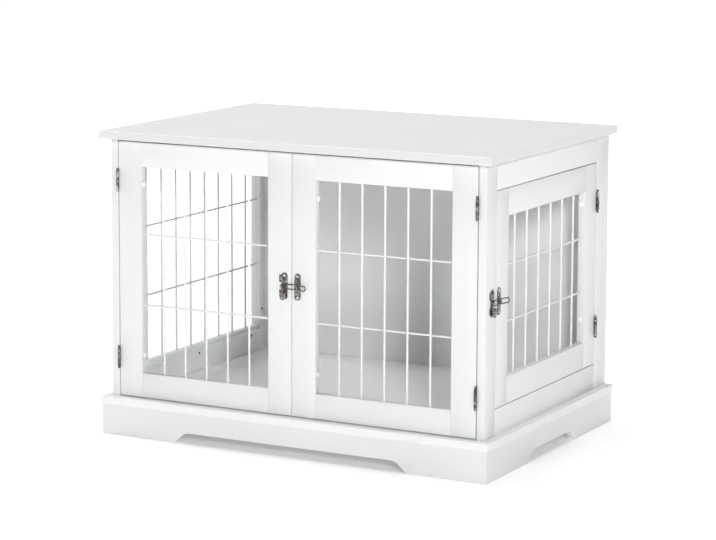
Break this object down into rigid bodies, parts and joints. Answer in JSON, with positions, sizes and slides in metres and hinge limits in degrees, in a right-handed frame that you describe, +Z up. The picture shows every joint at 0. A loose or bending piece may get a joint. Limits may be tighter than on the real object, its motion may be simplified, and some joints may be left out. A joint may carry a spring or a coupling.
{
  "type": "dog crate end table",
  "caption": "White end table that is a dog crate: boards on a skirt with bracket feet, a tabletop, wire grille sides, double front doors and a side door with dark latches.",
  "frame": {"origin": "centre of the footprint on the floor", "axes": "+Z up, -Y towards the double front doors, +X towards the side door"},
  "size_m": [0.8, 0.565, 0.572],
  "materials": {
    "tabletop_paint": "satin white paint over a wooden board",
    "white_paint": "satin white paint over wooden boards",
    "raw_wood": "unpainted wood, inside joints and corners",
    "white_wire": "white coated steel wire",
    "cap_plastic": "white plastic caps over the joint screws",
    "antique_metal": "dark antique pewter hinges and latches",
    "bronze_metal": "aged bronze latch tongue",
    "dark_screws": "dark screws"
  },
  "bodies": {
    "cabinet": {"table_top": "tabletop_paint", "bottom_board": "white_paint", "front_skirt": "white_paint", "back_skirt": "white_paint", "left_skirt": "white_paint", "right_skirt": "white_paint", "corner_blocks": "raw_wood", "back_panel": "white_paint", "front_header": "white_paint", "left_front_stile": "white_paint", "left_rear_stile": "white_paint", "left_bottom_rail": "white_paint", "left_top_rail": "white_paint", "right_front_stile": "white_paint", "right_rear_stile": "white_paint", "right_bottom_rail": "white_paint", "right_top_rail": "white_paint", "side_cleats": "white_paint", "rear_cleats": "white_paint", "frame_dowels": "raw_wood", "left_grille": "white_wire", "frame_hinge_leaves": "antique_metal", "hinge_pins": "antique_metal", "post_latch_plate": "antique_metal", "cabinet_screws": "dark_screws"},
    "left_door": {"left_door_hinge_stile": "white_paint", "left_door_lock_stile": "white_paint", "left_door_bottom_rail": "white_paint", "left_door_top_rail": "white_paint", "left_door_dowels": "raw_wood", "left_door_grille": "white_wire", "left_door_caps": "cap_plastic", "left_door_hinge_leaves": "antique_metal", "left_door_latch_plate": "antique_metal", "left_door_screws": "antique_metal"},
    "right_door": {"right_door_hinge_stile": "white_paint", "right_door_lock_stile": "white_paint", "right_door_bottom_rail": "white_paint", "right_door_top_rail": "white_paint", "right_door_dowels": "raw_wood", "right_door_grille": "white_wire", "right_door_caps": "cap_plastic", "right_door_hinge_leaves": "antique_metal", "right_door_latch_plate": "antique_metal", "right_door_screws": "antique_metal"},
    "side_door": {"side_door_hinge_stile": "white_paint", "side_door_lock_stile": "white_paint", "side_door_bottom_rail": "white_paint", "side_door_top_rail": "white_paint", "side_door_dowels": "raw_wood", "side_door_grille": "white_wire", "side_door_caps": "cap_plastic", "side_door_hinge_leaves": "antique_metal", "side_door_latch_plate": "antique_metal", "side_door_screws": "antique_metal"},
    "front_latch_link": {"front_latch_link": "antique_metal"},
    "side_latch_link": {"side_latch_link": "antique_metal"},
    "front_latch_tongue": {"front_latch_tongue": "bronze_metal"},
    "side_latch_tongue": {"side_latch_tongue": "bronze_metal"}
  },
  "joints": [
    {"name": "right_door_hinge", "type": "hinge", "parent": "cabinet", "child": "right_door", "pos_m": [0.3684, -0.2668, 0.31275], "axis": [0, 0, 1], "range_deg": [0, 170]},
    {"name": "left_door_hinge", "type": "hinge", "parent": "cabinet", "child": "left_door", "pos_m": [-0.3684, -0.2668, 0.31275], "axis": [0, 0, -1], "range_deg": [0, 170]},
    {"name": "side_door_hinge", "type": "hinge", "parent": "cabinet", "child": "side_door", "pos_m": [0.3876, 0.2208, 0.3135], "axis": [0, 0, 1], "range_deg": [0, 170]},
    {"name": "front_link_pin", "type": "hinge", "parent": "right_door", "child": "front_latch_link", "pos_m": [0.0125, -0.2677, 0.3115], "axis": [0, 0, 1], "range_deg": [0, 17]},
    {"name": "side_link_pin", "type": "hinge", "parent": "side_door", "child": "side_latch_link", "pos_m": [0.3885, -0.2116, 0.3115], "axis": [0, 0, 1], "range_deg": [0, 17]},
    {"name": "front_tongue_pivot", "type": "hinge", "parent": "left_door", "child": "front_latch_tongue", "pos_m": [-0.0145, -0.2701, 0.3005], "axis": [0, 1, 0], "range_deg": [-80, 80]},
    {"name": "side_tongue_pivot", "type": "hinge", "parent": "cabinet", "child": "side_latch_tongue", "pos_m": [0.3909, -0.2386, 0.3005], "axis": [-1, 0, 0], "range_deg": [-80, 80]}
  ],
  "couplings": [
    {"joint": "left_door_hinge", "follows": "right_door_hinge", "ratio": 1}
  ]
}
